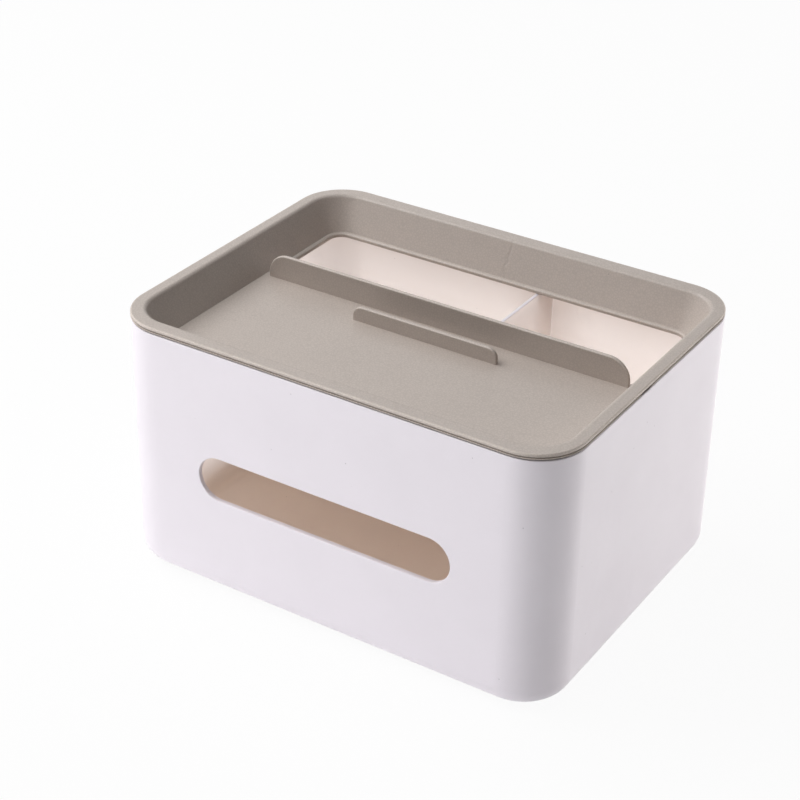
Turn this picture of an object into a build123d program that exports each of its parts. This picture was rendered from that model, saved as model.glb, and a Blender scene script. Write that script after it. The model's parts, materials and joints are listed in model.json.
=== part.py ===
from build123d import *
import math
import os

# Tissue box organizer: a white shell with a front slot and two inner panels, closed by a lift-off tray lid.
# Millimetres. The origin is the middle of the footprint, on the table. X runs along the slotted front,
# Y goes to the back and Z is up.

# Shell
body_width = 240.0
body_depth = 184.0
body_height = 132.7
corner_radius = 25.0
wall = 2.6
floor_thickness = 2.6
base_fillet = 10.0
mouth_edge_fillet = 0.6

# Tissue slot in the front wall, its height measured from the shell's underside
slot_length = 139.0
slot_height = 23.4
slot_centre_height = 65.4
slot_edge_fillet = 0.5

# Foot pads, stuck in shallow recesses under the floor
pad_diameter = 16.0
pad_thickness = 1.8
pad_recess = 0.8
pad_play = 0.3
pad_inset = 32.0
pad_edge_fillet = 0.4

# Inner panels, held between guide ribs
panel_thickness = 2.0
panel_play = 0.3
panel_headroom = 0.5
panel_edge_fillet = 0.5
divider_offset = 18.5
guide_thickness = 1.8
guide_reach = 3.0
guide_height = 72.0

# Lid: rim with a groove and a bead under its edge, shadow gap over the shell, seat and skirt
rim_rise = 3.3
rim_edge_fillet = 0.8
rim_lower_fillet = 0.2
groove_height = 0.65
groove_depth = 1.6
bead_height = 0.55
reveal_height = 0.65
reveal_depth = 1.6
skirt_play = 0.4
skirt_thickness = 2.4
skirt_depth = 9.0
skirt_lead_in = 0.6

# Lid: sunken tray with leaning walls, its deck and the opening over the wells
tray_depth = 17.2
tray_side_inset = 6.4
tray_end_inset = 7.6
tray_lean = 28.4
tray_wall = 2.2
tray_edge_fillet = 2.5
deck_thickness = 2.0
lip_width = 2.3
lip_edge_fillet = 1.2
opening_radius = 7.0

# Lid: phone rest, a flange along the opening with a low ridge before it
upright_thickness = 2.2
upright_edge_fillet = 0.7
flange_setback = 102.2
flange_height = 13.2
flange_corner = 11.0
flange_end_gap = 0.6
phone_gap = 13.4
ridge_length = 80.6
ridge_height = 7.7
ridge_corner = 5.2

# Lid: pry slots in the two sides
pry_length = 10.0
pry_setback = 81.3

# Cuts run past the faces that they open by this much
overrun = 2.0

# Round solids that stand on their place, or hang from it
stood = (Align.CENTER, Align.CENTER, Align.MIN)
hung = (Align.CENTER, Align.CENTER, Align.MAX)

# Levels
base_low = pad_thickness - pad_recess
floor_top = base_low + floor_thickness
body_top = base_low + body_height
rim_low = body_top + reveal_height
groove_low = rim_low + bead_height
rim_top = body_top + rim_rise
deck_top = rim_top - tray_depth
deck_low = deck_top - deck_thickness
panel_top = deck_low - panel_headroom

# Places along Y
front_face = -body_depth / 2
back_inside = body_depth / 2 - wall
flange_front = front_face + flange_setback
flange_back = flange_front + upright_thickness
ridge_front = flange_front - phone_gap - upright_thickness
partition_y = (flange_front + flange_back) / 2
partition_back = partition_y + panel_thickness / 2
pry_y = front_face + pry_setback

# Shared sizes
inner_base_fillet = base_fillet - wall
guide_spacing = panel_thickness / 2 + panel_play + guide_thickness / 2
skirt_outset = wall + skirt_play
skirt_inset = skirt_outset + skirt_thickness
lean_slope = math.tan(math.radians(tray_lean))
lean_wall = tray_wall / math.cos(math.radians(tray_lean))
foot_side_inset = tray_side_inset + tray_depth * lean_slope
foot_end_inset = tray_end_inset + tray_depth * lean_slope
foot_radius = corner_radius - foot_side_inset
under_shift = lean_wall - deck_thickness * lean_slope
under_side_inset = foot_side_inset - under_shift
under_end_inset = foot_end_inset - under_shift
under_radius = foot_radius + under_shift
opening_half = body_width / 2 - foot_side_inset - lip_width
opening_back = body_depth / 2 - foot_end_inset - lip_width
flange_length = 2 * (opening_half - flange_end_gap)


def outline(side_inset, end_inset, radius):
    """The shell's plan outline, drawn in from its sides and from its front and back."""
    return RectangleRounded(body_width - 2 * side_inset, body_depth - 2 * end_inset, radius)


def slab(inset, low, high):
    """A slab between two levels whose sides lie evenly inside the shell's outline."""
    face = outline(inset, inset, corner_radius - inset)
    return extrude(Pos(0, 0, low) * face, amount=high - low)


def brick(x_range, y_range, z_range):
    """A square-cornered block between two places on each axis."""
    size = [end - start for start, end in (x_range, y_range, z_range)]
    corner = (x_range[0], y_range[0], z_range[0])
    return Pos(*corner) * Box(*size, align=Align.MIN)


def pad_places():
    """The names and centres of the four foot pads."""
    x = body_width / 2 - pad_inset
    y = body_depth / 2 - pad_inset
    return {
        "front_left": (-x, -y),
        "front_right": (x, -y),
        "rear_left": (-x, y),
        "rear_right": (x, y),
    }


def guide_pair(place, across, start, end, low):
    """Two upright ribs, one on each side of a panel's edge, with the panel's play between them."""
    ribs = []
    for side in (-1, 1):
        middle = place + side * guide_spacing
        thick = (middle - guide_thickness / 2, middle + guide_thickness / 2)
        long = (start, end)
        x_range, y_range = (thick, long) if across == "x" else (long, thick)
        ribs.append(brick(x_range, y_range, (low, low + guide_height)))
    return ribs


def make_outer_body():
    """The open-topped shell with its slot, guide ribs and pad recesses."""
    shell = slab(0, base_low, body_top)
    shell = fillet(shell.edges().group_by(Axis.Z)[0], base_fillet)
    shell = fillet(shell.faces().sort_by(Axis.Z)[-1].edges(), mouth_edge_fillet)

    # The hollow leaves the guide ribs standing on the side walls and on the back wall.
    hollow = slab(wall, floor_top, body_top + overrun)
    hollow = fillet(hollow.edges().group_by(Axis.Z)[0], inner_base_fillet)
    side_inside = body_width / 2 - wall
    hollow -= guide_pair(partition_y, "y", side_inside - guide_reach, side_inside, floor_top)
    hollow -= guide_pair(partition_y, "y", -side_inside, guide_reach - side_inside, floor_top)
    hollow -= guide_pair(divider_offset, "x", back_inside - guide_reach, back_inside, floor_top)
    shell -= hollow

    slot_z = base_low + slot_centre_height
    slot_plane = Plane(origin=(0, front_face, slot_z), x_dir=(1, 0, 0), z_dir=(0, -1, 0))
    shell -= extrude(slot_plane * SlotOverall(slot_length, slot_height), amount=wall + overrun, both=True)
    slot_edges = shell.edges().filter_by(Axis.Y, reverse=True)
    slot_edges = slot_edges.filter_by_position(Axis.X, -slot_length / 2 - overrun, slot_length / 2 + overrun)
    slot_edges = slot_edges.filter_by_position(Axis.Y, front_face - overrun, front_face + wall + overrun)
    slot_edges = slot_edges.filter_by_position(Axis.Z, slot_z - slot_height, slot_z + slot_height)
    shell = fillet(slot_edges, slot_edge_fillet)

    for x, y in pad_places().values():
        recess = Cylinder(pad_diameter / 2 + pad_play, pad_recess + overrun, align=hung)
        shell -= Pos(x, y, base_low + pad_recess) * recess
    return shell


def make_foot_pad(x, y):
    """A round rubber pad with an eased lower edge."""
    pad = Cylinder(pad_diameter / 2, pad_thickness, align=stood)
    pad = fillet(pad.edges().group_by(Axis.Z)[0], pad_edge_fillet)
    return Pos(x, y, 0) * pad


def eased_panel(panel, along):
    """Rounds the top edges of a panel that run along the given axis."""
    return fillet(panel.faces().sort_by(Axis.Z)[-1].edges().filter_by(along), panel_edge_fillet)


def make_chamber_partition():
    """The panel between the tissue chamber and the wells, with guide ribs for the divider."""
    half = body_width / 2 - wall - panel_play
    front = partition_y - panel_thickness / 2
    panel = brick((-half, half), (front, partition_back), (floor_top, panel_top))
    bottom_corners = panel.edges().filter_by(Axis.Y).group_by(Axis.Z)[0]
    panel = fillet(bottom_corners, inner_base_fillet)
    panel = eased_panel(panel, Axis.X)
    panel += guide_pair(divider_offset, "x", partition_y, partition_back + guide_reach, floor_top)
    return panel


def make_well_divider():
    """The panel that parts the wells, from the partition to the back wall."""
    half = panel_thickness / 2
    x_range = (divider_offset - half, divider_offset + half)
    panel = brick(x_range, (partition_back + panel_play, back_inside - panel_play), (floor_top, panel_top))
    rear_corner = panel.edges().filter_by(Axis.X).group_by(Axis.Z)[0].sort_by(Axis.Y)[-1]
    panel = fillet(rear_corner, inner_base_fillet)
    return eased_panel(panel, Axis.Y)


def make_upright(length, height, corner, front):
    """A thin wall across the deck with rounded top corners, rooted in the deck."""
    profile = Rectangle(length, height + deck_thickness, align=(Align.CENTER, Align.MIN))
    profile = fillet(profile.vertices().group_by(Axis.Y)[-1], corner)
    plane = Plane(origin=(0, front, deck_low), x_dir=(1, 0, 0), z_dir=(0, -1, 0))
    upright = extrude(plane * profile, amount=-upright_thickness)
    faces = upright.faces().sort_by(Axis.Y)
    edges = faces[0].edges() + faces[-1].edges()
    return fillet(edges.filter_by(lambda e: e.center().Z > deck_top), upright_edge_fillet)


def make_tray_lid():
    """The lift-off lid: rim, seat, skirt, sunken tray, opening and phone rest."""
    rim = slab(0, rim_low, rim_top)
    rim = fillet(rim.edges().group_by(Axis.Z)[0], rim_lower_fillet)
    groove_high = groove_low + groove_height
    rim -= slab(-overrun, groove_low, groove_high) - slab(groove_depth, groove_low, groove_high)
    seat = slab(reveal_depth, body_top, rim_low)
    skirt = slab(skirt_outset, body_top - skirt_depth, body_top)
    skirt = chamfer(skirt.edges().group_by(Axis.Z)[0], skirt_lead_in)
    bore = slab(skirt_inset, body_top - skirt_depth - overrun, rim_low)
    lid = rim + (seat + skirt - bore)

    under_face = outline(under_side_inset, under_end_inset, under_radius)
    under = extrude(Pos(0, 0, deck_low) * under_face, amount=rim_top - deck_low, taper=-tray_lean)
    foot_face = outline(foot_side_inset, foot_end_inset, foot_radius)
    pocket = extrude(Pos(0, 0, deck_top) * foot_face, amount=tray_depth + overrun, taper=-tray_lean)
    lid = lid + under - pocket

    rim_face = lid.faces().sort_by(Axis.Z)[-1]
    lid = fillet(rim_face.inner_wires()[0].edges(), tray_edge_fillet)
    rim_face = lid.faces().sort_by(Axis.Z)[-1]
    lid = fillet(rim_face.outer_wire().edges(), rim_edge_fillet)

    opening_depth = opening_back - flange_back
    opening_face = Pos(0, (opening_back + flange_back) / 2, deck_low - overrun) * RectangleRounded(
        2 * opening_half, opening_depth, opening_radius
    )
    lid -= extrude(opening_face, amount=deck_thickness + 2 * overrun)
    deck_face = lid.faces().filter_by(Plane.XY).sort_by(lambda f: abs(f.center().Z - deck_top))[0]
    lid = fillet(deck_face.inner_wires()[0].edges(), lip_edge_fillet)

    lid += make_upright(flange_length, flange_height, flange_corner, flange_front)
    lid += make_upright(ridge_length, ridge_height, ridge_corner, ridge_front)

    for side in (-1, 1):
        outer = side * (body_width / 2 + overrun)
        inner = side * (body_width / 2 - skirt_inset)
        x_range = (min(outer, inner), max(outer, inner))
        y_range = (pry_y - pry_length / 2, pry_y + pry_length / 2)
        lid -= brick(x_range, y_range, (body_top, groove_high))
    return lid


os.makedirs("parts", exist_ok=True)
export_step(make_outer_body(), "parts/outer_body.step")
export_step(make_chamber_partition(), "parts/chamber_partition.step")
export_step(make_well_divider(), "parts/well_divider.step")
export_step(make_tray_lid(), "parts/tray_lid.step")
for pad_name, (pad_x, pad_y) in pad_places().items():
    export_step(make_foot_pad(pad_x, pad_y), f"parts/foot_pad_{pad_name}.step")
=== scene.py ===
"""Finishes and studio for a tissue box organizer: a white moulded box under a grained taupe tray lid."""

import json
import math

import bpy
from bpy.props import FloatProperty, FloatVectorProperty, PointerProperty
from mathutils import Matrix, Vector

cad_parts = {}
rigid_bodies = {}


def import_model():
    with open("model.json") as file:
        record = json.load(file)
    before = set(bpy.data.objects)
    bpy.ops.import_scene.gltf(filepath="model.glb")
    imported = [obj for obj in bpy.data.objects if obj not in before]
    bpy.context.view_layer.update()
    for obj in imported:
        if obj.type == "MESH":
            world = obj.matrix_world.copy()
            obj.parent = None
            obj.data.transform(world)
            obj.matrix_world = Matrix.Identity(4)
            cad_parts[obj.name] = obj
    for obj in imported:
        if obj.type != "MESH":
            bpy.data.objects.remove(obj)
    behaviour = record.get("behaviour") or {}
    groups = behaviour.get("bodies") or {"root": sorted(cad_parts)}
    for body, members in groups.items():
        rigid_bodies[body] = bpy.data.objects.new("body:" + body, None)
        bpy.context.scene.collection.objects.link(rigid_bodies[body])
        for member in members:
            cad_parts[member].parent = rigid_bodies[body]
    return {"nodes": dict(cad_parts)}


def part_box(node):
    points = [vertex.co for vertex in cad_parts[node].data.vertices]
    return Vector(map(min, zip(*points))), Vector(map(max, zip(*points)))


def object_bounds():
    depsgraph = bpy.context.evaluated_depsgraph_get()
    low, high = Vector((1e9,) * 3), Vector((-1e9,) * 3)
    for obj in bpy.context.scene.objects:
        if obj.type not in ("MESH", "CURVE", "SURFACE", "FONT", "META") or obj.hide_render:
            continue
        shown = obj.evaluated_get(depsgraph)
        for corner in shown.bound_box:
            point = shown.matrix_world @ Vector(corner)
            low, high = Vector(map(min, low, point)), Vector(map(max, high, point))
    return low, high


bl_info = {
    "name": "Tissue Box Organizer",
    "version": (1, 0, 0),
    "blender": (4, 5, 0),
    "location": "View3D > Sidebar > Tissue Box",
    "description": "Gives the packed tissue box organizer its finishes and a plain studio",
    "category": "Object",
}

MM = 0.001
HAIR = 0.1 * MM
WHITE = "#FFFFFF"
ABS_IOR = 1.53
RUBBER_IOR = 1.52
# Most of a noise lies between these values.
NOISE_LOW, NOISE_HIGH = 0.3, 0.7
# How many rays an occlusion node sends out to find edges, gaps and corners.
OCCLUSION_RAYS = 8
# Sockets of the Mix node that hold colours: its two inputs and its result.
MIX_FROM, MIX_TO, MIX_RESULT = 6, 7, 2

for startup_object in list(bpy.data.objects):
    bpy.data.objects.remove(startup_object)

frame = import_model()
CAD_LOW, CAD_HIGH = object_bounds()
PARTITION_LOW, PARTITION_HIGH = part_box("chamber_partition")
DIVIDER_LOW, DIVIDER_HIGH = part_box("well_divider")
PARTITION_Y = (PARTITION_LOW[1] + PARTITION_HIGH[1]) / 2
FLOOR_TOP = PARTITION_LOW[2]
DIVIDER_X = (DIVIDER_LOW[0] + DIVIDER_HIGH[0]) / 2
# From the divider's middle to just past either of its faces.
DIVIDER_REACH = DIVIDER_HIGH[0] - DIVIDER_X + HAIR

# Where each lamp stands: its azimuth and elevation in degrees, then its distance, width, height and the
# level that it is aimed at, in metres, and last whether gloss mirrors it, and its colour. Azimuth 0 is in
# front of the slotted face, and 90 is on the right. The strips stay below the rim, so that they light the
# sides and leave the tray in shade.
LAMPS = {
    "overhead": (0, 89, 1.7, 1.2, 1.2, 0.1, True, WHITE),
    "left": (279, 47, 1.7, 1.4, 1.1, 0.1, True, WHITE),
    "front": (335, 55, 1.7, 0.9, 0.9, 0.1, True, WHITE),
    "rear": (210, 40, 1.7, 0.9, 0.9, 0.1, True, WHITE),
    "right_strip": (140, 0, 1.2, 1.4, 0.13, 0.068, False, "#FFFDFA"),
    "front_strip": (340, 0, 1.2, 1.4, 0.13, 0.068, True, WHITE),
}


def linear(hex_colour):
    """An sRGB hex colour as linear red, green and blue."""
    parts = [int(hex_colour[i:i + 2], 16) / 255 for i in (1, 3, 5)]
    return tuple(c / 12.92 if c <= 0.04045 else ((c + 0.055) / 1.055) ** 2.4 for c in parts)


def add_node(tree, kind, inputs=None, **settings):
    """Adds a node with its settings. An input is linked to a socket, or set to any other value."""
    node = tree.nodes.new(kind)
    for name, value in settings.items():
        setattr(node, name, value)
    for key, value in (inputs or {}).items():
        if isinstance(value, bpy.types.NodeSocket):
            tree.links.new(value, node.inputs[key])
        else:
            node.inputs[key].default_value = value
    return node


def direction(azimuth, elevation):
    """The unit vector at an azimuth, turned from the front to the right, and an elevation, in radians."""
    flat = math.cos(elevation)
    return Vector((math.sin(azimuth) * flat, -math.cos(azimuth) * flat, math.sin(elevation)))


def new_material(name):
    """An empty node material with its tree."""
    material = bpy.data.materials.new(name)
    material.use_nodes = True
    material.node_tree.nodes.clear()
    return material, material.node_tree


def sees_background(tree):
    """1 for rays from the camera and rays that a surface mirrors or lets through, and 0 for others."""
    path = add_node(tree, "ShaderNodeLightPath")
    mirrored = add_node(
        tree, "ShaderNodeMath",
        {0: path.outputs["Is Camera Ray"], 1: path.outputs["Is Glossy Ray"]}, operation="MAXIMUM")
    seen = add_node(
        tree, "ShaderNodeMath",
        {0: mirrored.outputs[0], 1: path.outputs["Is Transmission Ray"]}, operation="MAXIMUM")
    return seen.outputs[0]


def put_on(material, *nodes):
    """Gives one material to the whole of each named node."""
    for name in nodes:
        mesh = frame["nodes"][name].data
        mesh.materials.clear()
        mesh.materials.append(material)


class ShellFinish(bpy.types.PropertyGroup):
    """The white shell and the panels inside it."""

    colour: FloatVectorProperty(
        name="Colour", description="White of the plastic", subtype="COLOR", default=linear("#F4EEF5"))
    # The warmer whites of the wells and the chamber are painted light, for warm light bounced inside.
    wells: FloatVectorProperty(
        name="Wells", description="White of the plastic in the wells", subtype="COLOR",
        default=linear("#F3E8E0"))
    chamber: FloatVectorProperty(
        name="Chamber", description="White of the plastic in the tissue chamber", subtype="COLOR",
        default=linear("#F2E4D7"))
    glow: FloatVectorProperty(
        name="Glow", description="Colour of light that has come through a wall", subtype="COLOR",
        default=linear("#F4F0EF"))
    passing_low: FloatProperty(
        name="Passing low", description="Share of the light that a wall lets through near the floor",
        subtype="FACTOR", default=0.34)
    passing_high: FloatProperty(
        name="Passing high", description="Share of the light that a wall lets through near the mouth",
        subtype="FACTOR", default=0.43)
    roughness: FloatProperty(
        name="Roughness", description="Satin polish of the mould", subtype="FACTOR", default=0.36)
    speck_size: FloatProperty(
        name="Speck size", description="Width of a speck in the plastic",
        subtype="DISTANCE", unit="LENGTH", default=0.8 * MM)


class LidFinish(bpy.types.PropertyGroup):
    """The grained tray lid."""

    colour: FloatVectorProperty(
        name="Colour", description="Taupe of the moulded lid", subtype="COLOR", default=linear("#BEB3AB"))
    roughness: FloatProperty(
        name="Roughness", description="Matt finish of the grained mould", subtype="FACTOR", default=0.4)
    grain_size: FloatProperty(
        name="Grain size", description="Width of one cell of the leather grain",
        subtype="DISTANCE", unit="LENGTH", default=1.4 * MM)
    speck_size: FloatProperty(
        name="Speck size", description="Width of a speck in the plastic",
        subtype="DISTANCE", unit="LENGTH", default=0.7 * MM)


class PadFinish(bpy.types.PropertyGroup):
    """The rubber foot pads."""

    colour: FloatVectorProperty(
        name="Colour", description="Grey of the rubber", subtype="COLOR", default=linear("#8E8B88"))


class StageSettings(bpy.types.PropertyGroup):
    """Camera, floor and lamps."""

    azimuth: FloatProperty(
        name="Azimuth", description="Camera turned from the front to the right",
        subtype="ANGLE", unit="ROTATION", default=math.radians(32.1043))
    elevation: FloatProperty(
        name="Elevation", description="Camera above the floor's level",
        subtype="ANGLE", unit="ROTATION", default=math.radians(30.3275))
    roll: FloatProperty(
        name="Roll", description="Camera turned about its view line",
        subtype="ANGLE", unit="ROTATION", default=math.radians(1.0524))
    distance: FloatProperty(
        name="Distance", description="Camera from the point it looks at",
        subtype="DISTANCE", unit="LENGTH", default=915.917 * MM)
    target: FloatVectorProperty(
        name="Target", description="Point that the camera looks at",
        subtype="TRANSLATION", unit="LENGTH", default=(3.795 * MM, -30.892 * MM, 101.272 * MM))
    lens: FloatProperty(
        name="Lens", description="Focal length in millimetres on a 36 mm sensor", default=87.545)
    floor: FloatVectorProperty(
        name="Floor", description="White of the floor", subtype="COLOR", default=linear("#F4F4F4"))
    floor_size: FloatProperty(
        name="Floor size", description="Side of the floor",
        subtype="DISTANCE", unit="LENGTH", default=12.0)
    backdrop: FloatProperty(
        name="Backdrop", description="Part of the floor's white that the camera sees without shadow",
        subtype="FACTOR", default=0.94)
    overhead: FloatProperty(name="Overhead", description="Power of the softbox above", default=3.2)
    left: FloatProperty(name="Left", description="Power of the large softbox on the left", default=21.8)
    front: FloatProperty(name="Front", description="Power of the softbox left of the camera", default=5.6)
    rear: FloatProperty(name="Rear", description="Power of the softbox behind", default=1.8)
    right_strip: FloatProperty(
        name="Right strip", description="Power of the low strip on the right", default=12.9)
    front_strip: FloatProperty(
        name="Front strip", description="Power of the low strip in front", default=5.25)


def moulded_white(settings):
    """White ABS from a satin steel mould: even and dense, with a soft sheen, a faint peel and a few
    specks. Its inner faces take warmer whites, painted light for the warm light bounced inside the wells
    and, warmer still, the chamber. Some light also comes through the walls."""
    flow_size = 35 * MM
    peel_size = 9 * MM
    # The blasted satin of the mould is finer than a tenth of a millimetre, and is drawn coarser to show.
    satin_size = 0.8 * MM
    satin_share = 0.15
    relief_depth = 0.1 * MM
    polish_spread = 0.06
    material, tree = new_material("white_abs_satin_moulded")
    place = add_node(tree, "ShaderNodeTexCoord")
    position = place.outputs["Object"]
    spot = add_node(tree, "ShaderNodeSeparateXYZ", {0: position})
    inner = inner_faces(tree, place, spot)
    in_chamber = add_node(
        tree, "ShaderNodeMath", {0: spot.outputs["Y"], 1: PARTITION_Y}, operation="LESS_THAN")
    flow = add_node(tree, "ShaderNodeTexNoise", {"Vector": position, "Scale": 1 / flow_size, "Detail": 3})
    paler = add_node(
        tree, "ShaderNodeMapRange",
        {"Value": flow.outputs[0], "From Min": NOISE_LOW, "From Max": NOISE_HIGH,
         "To Min": 0.975, "To Max": 1.0})
    shade = paler.outputs[0]
    for other in (
        specks(tree, position, settings.speck_size),
        # Painted highlight along upper outer edges.
        painted_edge_highlight(tree, place, highlight_gain=1.1),
        # Painted shade deep in narrow gaps.
        painted_gap_shade(tree, gap_darkness=0.6),
    ):
        shade = add_node(tree, "ShaderNodeMath", {0: shade, 1: other}, operation="MULTIPLY").outputs[0]
    # Painted light: inner faces take the warmer white of the wells, or of the chamber in front of the
    # partition.
    inside = add_node(
        tree, "ShaderNodeMix",
        {0: in_chamber.outputs[0], MIX_FROM: (*settings.wells, 1), MIX_TO: (*settings.chamber, 1)},
        data_type="RGBA")
    plastic = add_node(
        tree, "ShaderNodeMix",
        {0: inner, MIX_FROM: (*settings.colour, 1), MIX_TO: inside.outputs[MIX_RESULT]}, data_type="RGBA")
    colour = add_node(
        tree, "ShaderNodeHueSaturation", {"Color": plastic.outputs[MIX_RESULT], "Value": shade})
    polish = add_node(
        tree, "ShaderNodeMapRange",
        {"Value": flow.outputs[0], "From Min": NOISE_LOW, "From Max": NOISE_HIGH,
         "To Min": settings.roughness + polish_spread, "To Max": settings.roughness - polish_spread})
    peel = add_node(tree, "ShaderNodeTexNoise", {"Vector": position, "Scale": 1 / peel_size, "Detail": 1})
    satin = add_node(
        tree, "ShaderNodeTexNoise", {"Vector": position, "Scale": 1 / satin_size, "Detail": 2})
    height = add_node(
        tree, "ShaderNodeMath",
        {0: satin.outputs[0], 1: satin_share, 2: peel.outputs[0]}, operation="MULTIPLY_ADD")
    bump = add_node(
        tree, "ShaderNodeBump", {"Strength": 1, "Distance": relief_depth, "Height": height.outputs[0]})
    surface = add_node(
        tree, "ShaderNodeBsdfPrincipled",
        {"Base Color": colour.outputs[0], "Roughness": polish.outputs[0], "IOR": ABS_IOR,
         "Normal": bump.outputs[0]})
    glow = add_node(tree, "ShaderNodeBsdfTranslucent", {"Color": (*settings.glow, 1)})
    passing = light_through(tree, settings, spot, inner, in_chamber.outputs[0])
    wall = add_node(
        tree, "ShaderNodeMixShader", {0: passing, 1: surface.outputs[0], 2: glow.outputs[0]})
    add_node(tree, "ShaderNodeOutputMaterial", {"Surface": wall.outputs[0]})
    return material


def inner_faces(tree, place, spot):
    """1 on the faces inside the box, and 0 on the outer ones, which look away from its middle. The tissue
    slot's edge counts as outer."""
    middle = (0, 0, 60 * MM)
    # How far a face lies from the middle, measured along its own normal.
    outer_from = 58 * MM
    inner_up_to = 35 * MM
    slot_edge = 2.3 * MM
    from_middle = add_node(
        tree, "ShaderNodeVectorMath", {0: place.outputs["Object"], 1: middle}, operation="SUBTRACT")
    facing = add_node(
        tree, "ShaderNodeVectorMath",
        {0: from_middle.outputs[0], 1: place.outputs["Normal"]}, operation="DOT_PRODUCT")
    turned = add_node(
        tree, "ShaderNodeMapRange",
        {"Value": facing.outputs["Value"], "From Min": outer_from, "From Max": inner_up_to})
    behind = add_node(
        tree, "ShaderNodeMath",
        {0: spot.outputs["Y"], 1: CAD_LOW[1] + slot_edge}, operation="GREATER_THAN")
    inner = add_node(
        tree, "ShaderNodeMath", {0: turned.outputs[0], 1: behind.outputs[0]}, operation="MULTIPLY")
    return inner.outputs[0]


def light_through(tree, settings, spot, inner, in_chamber):
    """The share of light that passes. The mould's draft leaves the walls thinner towards the top, where
    they pass more. The corners of the wells and the foot of each wall are thicker and pass less. The
    divider is thin all over. The floor stands on its pads and passes none. Light that has come into a
    wall leaves it again, so the back of a face passes all."""
    draft_low = 20 * MM
    draft_high = 90 * MM
    corner_reach = 27 * MM
    foot_height = 20 * MM
    draft = add_node(
        tree, "ShaderNodeMapRange",
        {"Value": spot.outputs["Z"], "From Min": draft_low, "From Max": draft_high,
         "To Min": settings.passing_low, "To Max": settings.passing_high})
    corners = add_node(
        tree, "ShaderNodeAmbientOcclusion", {"Distance": corner_reach}, samples=OCCLUSION_RAYS)
    divider = add_node(
        tree, "ShaderNodeMath",
        {0: spot.outputs["X"], 1: DIVIDER_X, 2: DIVIDER_REACH}, operation="COMPARE")
    even = add_node(
        tree, "ShaderNodeMath", {0: divider.outputs[0], 1: in_chamber}, operation="MAXIMUM")
    thin = add_node(
        tree, "ShaderNodeMath", {0: corners.outputs["AO"], 1: even.outputs[0]}, operation="MAXIMUM")
    raised = add_node(
        tree, "ShaderNodeMapRange",
        {"Value": spot.outputs["Z"], "From Min": FLOOR_TOP, "From Max": FLOOR_TOP + foot_height},
        interpolation_type="SMOOTHSTEP")
    share = draft.outputs[0]
    for other in (thin.outputs[0], raised.outputs[0], inner):
        share = add_node(tree, "ShaderNodeMath", {0: share, 1: other}, operation="MULTIPLY").outputs[0]
    side = add_node(tree, "ShaderNodeNewGeometry")
    passing = add_node(
        tree, "ShaderNodeMath", {0: share, 1: side.outputs["Backfacing"]}, operation="MAXIMUM")
    return passing.outputs[0]


def specks(tree, position, size):
    """Dark specks in the plastic: 0.7 on a speck and 1 elsewhere."""
    spread = 12 * MM
    dots = add_node(tree, "ShaderNodeTexVoronoi", {"Vector": position, "Scale": 1 / spread})
    rim = 0.5 * size / spread
    dot = add_node(
        tree, "ShaderNodeMapRange",
        {"Value": dots.outputs["Distance"], "From Min": 0.5 * rim, "From Max": rim,
         "To Min": 0.7, "To Max": 1.0})
    return dot.outputs[0]


def painted_edge_highlight(tree, place, highlight_gain):
    """The given value along upper outer edges, a painted highlight, and 1 elsewhere."""
    edge_reach = 1.2 * MM
    depth = add_node(
        tree, "ShaderNodeAmbientOcclusion", {"Distance": edge_reach},
        samples=OCCLUSION_RAYS, inside=True, only_local=True)
    edge = add_node(
        tree, "ShaderNodeMapRange",
        {"Value": depth.outputs["AO"], "From Min": 0.6, "From Max": 0.9, "To Min": 1.0, "To Max": 0.0})
    turn = add_node(tree, "ShaderNodeSeparateXYZ", {0: place.outputs["Normal"]})
    upper = add_node(
        tree, "ShaderNodeMath", {0: edge.outputs[0], 1: turn.outputs["Z"]}, operation="MULTIPLY")
    highlighted = add_node(
        tree, "ShaderNodeMapRange", {"Value": upper.outputs[0], "To Min": 1.0, "To Max": highlight_gain})
    return highlighted.outputs[0]


def painted_gap_shade(tree, gap_darkness):
    """The given value deep in narrow gaps, a painted shade, and 1 elsewhere."""
    gap_reach = 3 * MM
    room = add_node(tree, "ShaderNodeAmbientOcclusion", {"Distance": gap_reach}, samples=OCCLUSION_RAYS)
    gap = add_node(
        tree, "ShaderNodeMapRange",
        {"Value": room.outputs["AO"], "From Min": 0.1, "From Max": 0.38, "To Min": gap_darkness, "To Max": 1.0})
    return gap.outputs[0]


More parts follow.
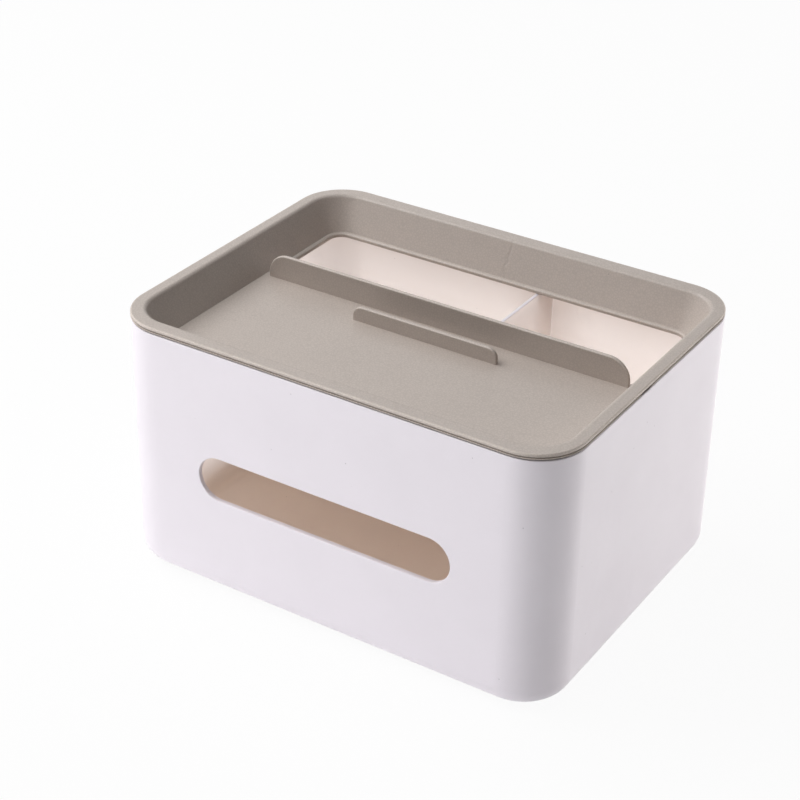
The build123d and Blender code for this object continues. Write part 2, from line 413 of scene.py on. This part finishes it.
def grained_taupe(settings):
    """Taupe ABS from a leather-grained mould: matt, with shallow cells and a soft swell that catch the
    light, painted shade in the grain's creases and in narrow gaps, and painted highlights on upper edges.
    The melt met in the middle of the tray's back wall and left a knit line."""
    pull_size = 5 * MM
    pull_reach = 0.8 * MM
    # The part of a cell over which its crown falls off to the crease.
    crease_share = 0.22
    swell_size = 4 * MM
    mottle_size = 30 * MM
    relief_depth = 0.06 * MM
    # The two heights are multiples of the relief's depth, and the knit line lies below the surface.
    crown_height = 0.3
    knit_height = -2
    material, tree = new_material("taupe_abs_grained_moulded")
    place = add_node(tree, "ShaderNodeTexCoord")
    position = place.outputs["Object"]
    pull = add_node(tree, "ShaderNodeTexNoise", {"Vector": position, "Scale": 1 / pull_size, "Detail": 1})
    drawn = add_node(
        tree, "ShaderNodeVectorMath",
        {0: pull.outputs["Color"], 1: (pull_reach, pull_reach, pull_reach), 2: position},
        operation="MULTIPLY_ADD")
    cells = add_node(
        tree, "ShaderNodeTexVoronoi",
        {"Vector": drawn.outputs[0], "Scale": 1 / settings.grain_size}, feature="DISTANCE_TO_EDGE")
    crown = add_node(
        tree, "ShaderNodeMapRange",
        {"Value": cells.outputs["Distance"], "From Max": crease_share}, interpolation_type="SMOOTHSTEP")
    swell = add_node(
        tree, "ShaderNodeTexNoise", {"Vector": position, "Scale": 1 / swell_size, "Detail": 2})
    mottle = add_node(
        tree, "ShaderNodeTexNoise", {"Vector": position, "Scale": 1 / mottle_size, "Detail": 3})
    knit = knit_line(tree, place)
    # Painted shade: the grain's crowns lighter and its creases darker.
    painted_crease_shade = add_node(
        tree, "ShaderNodeMapRange", {"Value": crown.outputs[0], "To Min": 0.95, "To Max": 1.05})
    clouds = add_node(
        tree, "ShaderNodeMapRange",
        {"Value": mottle.outputs[0], "From Min": NOISE_LOW, "From Max": NOISE_HIGH,
         "To Min": 0.98, "To Max": 1.02})
    seam = add_node(tree, "ShaderNodeMapRange", {"Value": knit, "To Min": 1.0, "To Max": 0.95})
    shade = painted_crease_shade.outputs[0]
    for other in (
        clouds.outputs[0],
        seam.outputs[0],
        specks(tree, position, settings.speck_size),
        # Painted highlight along upper outer edges.
        painted_edge_highlight(tree, place, highlight_gain=1.7),
        # Painted shade deep in narrow gaps.
        painted_gap_shade(tree, gap_darkness=0.65),
    ):
        shade = add_node(tree, "ShaderNodeMath", {0: shade, 1: other}, operation="MULTIPLY").outputs[0]
    colour = add_node(tree, "ShaderNodeHueSaturation", {"Color": (*settings.colour, 1), "Value": shade})
    dull = add_node(
        tree, "ShaderNodeMapRange",
        {"Value": crown.outputs[0],
         "To Min": settings.roughness + 0.12, "To Max": settings.roughness - 0.02})
    relief = add_node(
        tree, "ShaderNodeMath",
        {0: crown.outputs[0], 1: crown_height, 2: swell.outputs[0]}, operation="MULTIPLY_ADD")
    height = add_node(
        tree, "ShaderNodeMath", {0: knit, 1: knit_height, 2: relief.outputs[0]}, operation="MULTIPLY_ADD")
    bump = add_node(
        tree, "ShaderNodeBump", {"Strength": 1, "Distance": relief_depth, "Height": height.outputs[0]})
    surface = add_node(
        tree, "ShaderNodeBsdfPrincipled",
        {"Base Color": colour.outputs[0], "Roughness": dull.outputs[0], "IOR": ABS_IOR,
         "Normal": bump.outputs[0]})
    add_node(tree, "ShaderNodeOutputMaterial", {"Surface": surface.outputs[0]})
    return material


def knit_line(tree, place):
    """1 on a thin, wandering line down the inner side of the tray's back wall, and 0 elsewhere."""
    wander_size = 4 * MM
    sway = 5 * MM
    fade = 1.5 * MM
    back_wall_from = CAD_HIGH[1] - 30 * MM
    # A normal whose Y lies below this looks to the front.
    facing_front = -0.4
    position = place.outputs["Object"]
    spot = add_node(tree, "ShaderNodeSeparateXYZ", {0: position})
    turn = add_node(tree, "ShaderNodeSeparateXYZ", {0: place.outputs["Normal"]})
    wander = add_node(
        tree, "ShaderNodeTexNoise", {"Vector": position, "Scale": 1 / wander_size, "Detail": 2})
    swayed = add_node(
        tree, "ShaderNodeMath",
        {0: wander.outputs[0], 1: sway, 2: spot.outputs["X"]}, operation="MULTIPLY_ADD")
    away = add_node(tree, "ShaderNodeMath", {0: swayed.outputs[0]}, operation="ABSOLUTE")
    line = add_node(
        tree, "ShaderNodeMapRange",
        {"Value": away.outputs[0], "From Max": fade, "To Min": 1.0, "To Max": 0.0},
        interpolation_type="SMOOTHSTEP")
    behind = add_node(
        tree, "ShaderNodeMath", {0: spot.outputs["Y"], 1: back_wall_from}, operation="GREATER_THAN")
    inward = add_node(
        tree, "ShaderNodeMath", {0: turn.outputs["Y"], 1: facing_front}, operation="LESS_THAN")
    wall = add_node(
        tree, "ShaderNodeMath", {0: behind.outputs[0], 1: inward.outputs[0]}, operation="MULTIPLY")
    knit = add_node(
        tree, "ShaderNodeMath", {0: line.outputs[0], 1: wall.outputs[0]}, operation="MULTIPLY")
    return knit.outputs[0]


def pad_rubber(settings):
    """Moulded rubber: dull and faintly pitted, with dust in the pits."""
    pit_size = 0.7 * MM
    pit_depth = 0.15 * MM
    material, tree = new_material("grey_rubber_moulded")
    place = add_node(tree, "ShaderNodeTexCoord")
    pits = add_node(
        tree, "ShaderNodeTexNoise",
        {"Vector": place.outputs["Object"], "Scale": 1 / pit_size, "Detail": 3})
    dust = add_node(
        tree, "ShaderNodeMapRange",
        {"Value": pits.outputs[0], "From Min": 0.35, "From Max": 0.65, "To Min": 1.12, "To Max": 0.95})
    colour = add_node(
        tree, "ShaderNodeHueSaturation", {"Color": (*settings.colour, 1), "Value": dust.outputs[0]})
    dull = add_node(
        tree, "ShaderNodeMapRange", {"Value": pits.outputs[0], "To Min": 0.95, "To Max": 0.65})
    bump = add_node(
        tree, "ShaderNodeBump", {"Strength": 1, "Distance": pit_depth, "Height": pits.outputs[0]})
    surface = add_node(
        tree, "ShaderNodeBsdfPrincipled",
        {"Base Color": colour.outputs[0], "Roughness": dull.outputs[0], "IOR": RUBBER_IOR,
         "Normal": bump.outputs[0]})
    add_node(tree, "ShaderNodeOutputMaterial", {"Surface": surface.outputs[0]})
    return material


class DressShell(bpy.types.Operator):
    """Finishes the shell and its two inner panels"""

    bl_idname = "tissue_box.dress_shell"
    bl_label = "Shell and panels"

    def execute(self, context):
        material = moulded_white(context.scene.tissue_shell)
        put_on(material, "outer_body", "chamber_partition", "well_divider")
        return {"FINISHED"}


class DressLid(bpy.types.Operator):
    """Finishes the tray lid"""

    bl_idname = "tissue_box.dress_lid"
    bl_label = "Tray lid"

    def execute(self, context):
        put_on(grained_taupe(context.scene.tissue_lid), "tray_lid")
        return {"FINISHED"}


class DressPads(bpy.types.Operator):
    """Finishes the foot pads"""

    bl_idname = "tissue_box.dress_pads"
    bl_label = "Foot pads"

    def execute(self, context):
        pads = [name for name in frame["nodes"] if name.startswith("foot_pad")]
        put_on(pad_rubber(context.scene.tissue_pads), *pads)
        return {"FINISHED"}


class SetStage(bpy.types.Operator):
    """Sets the floor, the lamps, the sky and the camera"""

    bl_idname = "tissue_box.set_stage"
    bl_label = "Stage"

    def execute(self, context):
        settings = context.scene.tissue_stage
        self.add_floor(context, settings)
        self.add_sky(context)
        self.add_lamps(context, settings)
        self.add_camera(context, settings)
        context.scene.view_settings.view_transform = "Standard"
        return {"FINISHED"}

    def add_floor(self, context, settings):
        """White paper that bounces light as paper does. The camera, and what mirrors it, see it paler."""
        bpy.ops.mesh.primitive_plane_add(size=settings.floor_size)
        floor = context.object
        floor.name = "floor"
        material, tree = new_material("white_paper_floor")
        share = add_node(
            tree, "ShaderNodeMath",
            {0: sees_background(tree), 1: settings.backdrop}, operation="MULTIPLY")
        paper = add_node(tree, "ShaderNodeBsdfDiffuse", {"Color": (*settings.floor, 1)})
        white = add_node(tree, "ShaderNodeEmission", {"Color": (*linear(WHITE), 1), "Strength": 1.0})
        surface = add_node(
            tree, "ShaderNodeMixShader", {0: share.outputs[0], 1: paper.outputs[0], 2: white.outputs[0]})
        add_node(tree, "ShaderNodeOutputMaterial", {"Surface": surface.outputs[0]})
        floor.data.materials.append(material)

    def add_sky(self, context):
        """A dark room that looks white past the floor."""
        world = bpy.data.worlds.new("studio_room")
        world.use_nodes = True
        tree = world.node_tree
        tree.nodes.clear()
        sky = add_node(
            tree, "ShaderNodeBackground",
            {"Color": (*linear(WHITE), 1), "Strength": sees_background(tree)})
        add_node(tree, "ShaderNodeOutputWorld", {"Surface": sky.outputs[0]})
        context.scene.world = world

    def add_lamps(self, context, settings):
        """Area lamps around the box, which the camera doesn't see."""
        for name, (azimuth, elevation, distance, width, height, level, mirrored, colour) in LAMPS.items():
            towards = direction(math.radians(azimuth), math.radians(elevation))
            data = bpy.data.lights.new(name, "AREA")
            data.shape = "RECTANGLE"
            data.size = width
            data.size_y = height
            data.energy = getattr(settings, name)
            data.color = linear(colour)
            lamp = bpy.data.objects.new(name, data)
            lamp.location = towards * distance + Vector((0, 0, level))
            lamp.rotation_euler = towards.to_track_quat("Z", "Y").to_euler()
            lamp.visible_camera = False
            lamp.visible_glossy = mirrored
            context.collection.objects.link(lamp)

    def add_camera(self, context, settings):
        """A camera at its distance from the target, rolled about its view line."""
        back = direction(settings.azimuth, settings.elevation)
        right = Vector((math.cos(settings.azimuth), math.sin(settings.azimuth), 0))
        level_axes = Matrix((right, back.cross(right), back)).transposed()
        axes = level_axes @ Matrix.Rotation(settings.roll, 3, "Z")
        camera = bpy.data.objects.new("camera", bpy.data.cameras.new("camera"))
        camera.data.lens = settings.lens
        camera.matrix_world = Matrix.LocRotScale(
            Vector(settings.target) + settings.distance * back, axes, None)
        context.collection.objects.link(camera)
        context.scene.camera = camera


class TissueBoxPanel(bpy.types.Panel):
    """Lists the finishes and the stage with their settings."""

    bl_label = "Tissue Box"
    bl_idname = "VIEW3D_PT_tissue_box"
    bl_space_type = "VIEW_3D"
    bl_region_type = "UI"
    bl_category = "Tissue Box"

    def draw(self, context):
        for operator, settings in STEPS:
            box = self.layout.box()
            box.operator(operator.bl_idname)
            group = getattr(context.scene, settings)
            for name in group.__annotations__:
                box.prop(group, name)


GROUPS = {
    "tissue_shell": ShellFinish,
    "tissue_lid": LidFinish,
    "tissue_pads": PadFinish,
    "tissue_stage": StageSettings,
}
STEPS = (
    (DressShell, "tissue_shell"),
    (DressLid, "tissue_lid"),
    (DressPads, "tissue_pads"),
    (SetStage, "tissue_stage"),
)
CLASSES = (*GROUPS.values(), *(operator for operator, _ in STEPS), TissueBoxPanel)


def register():
    for cls in CLASSES:
        bpy.utils.register_class(cls)
    for name, group in GROUPS.items():
        setattr(bpy.types.Scene, name, PointerProperty(type=group))


def unregister():
    for name in GROUPS:
        delattr(bpy.types.Scene, name)
    for cls in reversed(CLASSES):
        bpy.utils.unregister_class(cls)


def main():
    register()
    for operator, _ in STEPS:
        category, name = operator.bl_idname.split(".")
        getattr(getattr(bpy.ops, category), name)()


if __name__ == "__main__":
    main()
